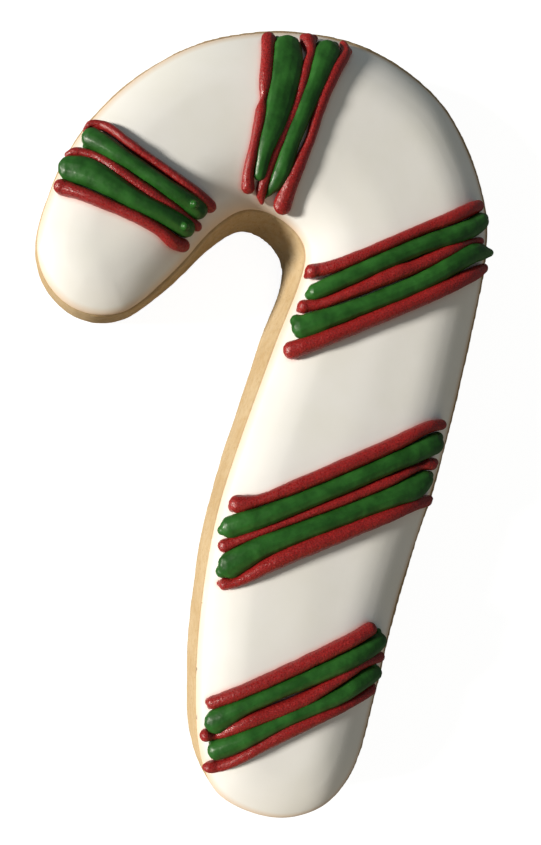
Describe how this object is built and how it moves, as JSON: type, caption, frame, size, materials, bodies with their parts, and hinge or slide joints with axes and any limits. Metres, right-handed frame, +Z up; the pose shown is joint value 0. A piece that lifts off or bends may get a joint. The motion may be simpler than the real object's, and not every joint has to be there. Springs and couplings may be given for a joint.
{
  "type": "iced candy cane biscuit",
  "caption": "Thick sugar biscuit cut as a candy cane, flooded with white icing and piped with slanting bands of red and green icing lines.",
  "frame": {"origin": "middle of the footprint, on the surface that the biscuit lies on", "axes": "+Z up, out of the iced side; +Y along the cane, from the foot of the stem to the crown of the hook; the hook bends towards -X"},
  "size_m": [0.065, 0.1102, 0.0133],
  "materials": {
    "baked_dough": "matt baked crumb",
    "white_icing": "satin set icing",
    "red_icing": "grainy satin icing",
    "green_icing": "smooth satin icing"
  },
  "bodies": {
    "root": {"biscuit": "baked_dough", "white_icing": "white_icing", "band_1_red_1": "red_icing", "band_1_green_1": "green_icing", "band_1_red_2": "red_icing", "band_1_green_2": "green_icing", "band_1_red_3": "red_icing", "band_2_red_1": "red_icing", "band_2_green_1": "green_icing", "band_2_red_2": "red_icing", "band_2_green_2": "green_icing", "band_2_red_3": "red_icing", "band_3_red_1": "red_icing", "band_3_green_1": "green_icing", "band_3_red_2": "red_icing", "band_3_green_2": "green_icing", "band_3_red_3": "red_icing", "band_4_red_1": "red_icing", "band_4_green_1": "green_icing", "band_4_red_2": "red_icing", "band_4_green_2": "green_icing", "band_4_red_3": "red_icing", "band_5_red_1": "red_icing", "band_5_green_1": "green_icing", "band_5_red_2": "red_icing", "band_5_green_2": "green_icing", "band_5_red_3": "red_icing"}
  },
  "joints": []
}
